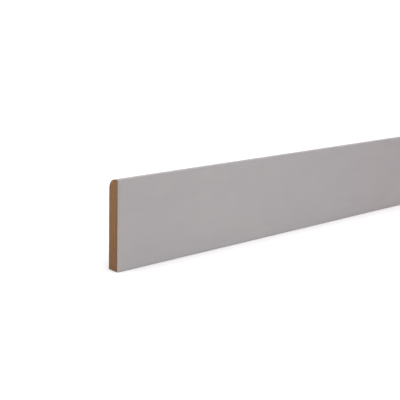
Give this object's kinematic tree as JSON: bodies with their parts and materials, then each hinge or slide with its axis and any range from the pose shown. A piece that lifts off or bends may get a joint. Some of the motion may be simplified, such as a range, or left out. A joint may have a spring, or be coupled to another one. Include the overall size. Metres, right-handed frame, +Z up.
{
  "type": "skirting board",
  "caption": "Straight skirting board with a flat back, a rounded top edge on the room side and square-cut bare ends, primed for painting.",
  "frame": {"origin": "middle of the floor edge: halfway along the length, halfway through the thickness, at the underside", "axes": "+X along the length; +Y towards the wall, so the flat back is at +Y and the face with the rounded top edge looks towards -Y; +Z up"},
  "size_m": [0.5, 0.0144, 0.094],
  "materials": {
    "primed_pine": "matt pale grey-white primer on planed pine, with bare sawn end grain at both ends"
  },
  "bodies": {
    "root": {"skirting_board": "primed_pine"}
  },
  "joints": []
}
